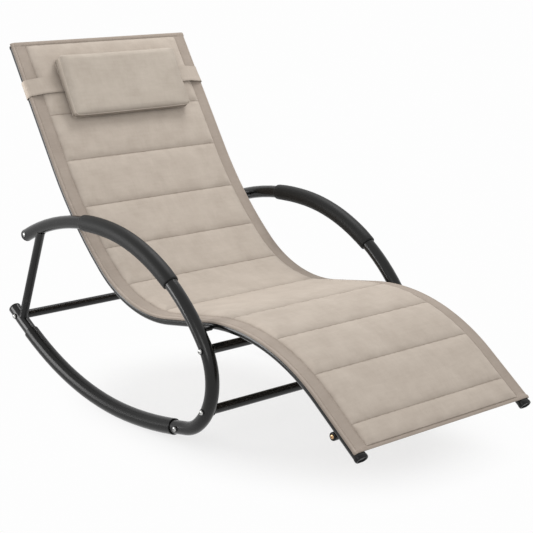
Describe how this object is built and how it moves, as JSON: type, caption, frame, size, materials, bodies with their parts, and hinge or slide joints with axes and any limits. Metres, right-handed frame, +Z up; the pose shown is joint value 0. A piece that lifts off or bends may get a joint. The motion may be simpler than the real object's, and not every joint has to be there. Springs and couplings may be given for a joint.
{
  "type": "rocking chaise lounge",
  "caption": "Rocking garden chaise lounge: S-curved quilted sling on bent rails between looped tube sides with curved rockers, and a headrest pillow that slides on an elastic band.",
  "frame": {"origin": "middle of the footprint, on the floor, with the chair at rest on its rockers", "axes": "+X to the foot end, +Y to the sitter's left, +Z up"},
  "size_m": [1.2782, 0.6666, 0.8631],
  "materials": {
    "tube_paint": "satin graphite",
    "black_plastic": "matt",
    "sleeve_plastic": "matt",
    "grip_foam": "matt foam",
    "sling_cloth": "woven",
    "pillow_cloth": "woven",
    "elastic": "woven",
    "bolt_steel": "bright",
    "screw_brass": "satin"
  },
  "bodies": {
    "chair_frame": {"left_arm_tube": "tube_paint", "right_arm_tube": "tube_paint", "left_rocker_tube": "tube_paint", "right_rocker_tube": "tube_paint", "left_rocker_sleeve": "sleeve_plastic", "right_rocker_sleeve": "sleeve_plastic", "left_rear_post": "tube_paint", "right_rear_post": "tube_paint", "left_foam_grip": "grip_foam", "right_foam_grip": "grip_foam", "left_arm_end_cap": "black_plastic", "right_arm_end_cap": "black_plastic", "left_rocker_end_cap": "black_plastic", "right_rocker_end_cap": "black_plastic", "rear_crossbar": "tube_paint", "middle_crossbar": "tube_paint", "lower_front_crossbar": "tube_paint", "left_rear_crossbar_bolt": "bolt_steel", "right_rear_crossbar_bolt": "bolt_steel", "left_middle_crossbar_bolt": "bolt_steel", "right_middle_crossbar_bolt": "bolt_steel", "left_lower_crossbar_bolt": "bolt_steel", "right_lower_crossbar_bolt": "bolt_steel", "left_joint_bolt": "bolt_steel", "right_joint_bolt": "bolt_steel", "left_arm_cap_screw": "bolt_steel", "right_arm_cap_screw": "bolt_steel", "left_seat_rail": "tube_paint", "right_seat_rail": "tube_paint", "left_rail_foot_cap": "black_plastic", "right_rail_foot_cap": "black_plastic", "left_rail_head_cap": "black_plastic", "right_rail_head_cap": "black_plastic", "left_front_rail_spacer": "tube_paint", "right_front_rail_spacer": "tube_paint", "left_front_rail_bolt": "bolt_steel", "right_front_rail_bolt": "bolt_steel", "left_rear_rail_spacer": "tube_paint", "right_rear_rail_spacer": "tube_paint", "left_rear_rail_bolt": "bolt_steel", "right_rear_rail_bolt": "bolt_steel", "head_spreader_bar": "tube_paint", "foot_spreader_bar": "tube_paint", "left_foot_spreader_cap": "black_plastic", "right_foot_spreader_cap": "black_plastic", "left_foot_spreader_screw": "screw_brass", "right_foot_spreader_screw": "screw_brass", "padded_sling": "sling_cloth"},
    "headrest": {"pillow": "pillow_cloth", "pillow_band": "elastic"}
  },
  "joints": [
    {"name": "headrest_slide", "type": "slide", "parent": "chair_frame", "child": "headrest", "axis": [0.5284, 0, -0.849], "range_m": [-0.035, 0.105]}
  ]
}
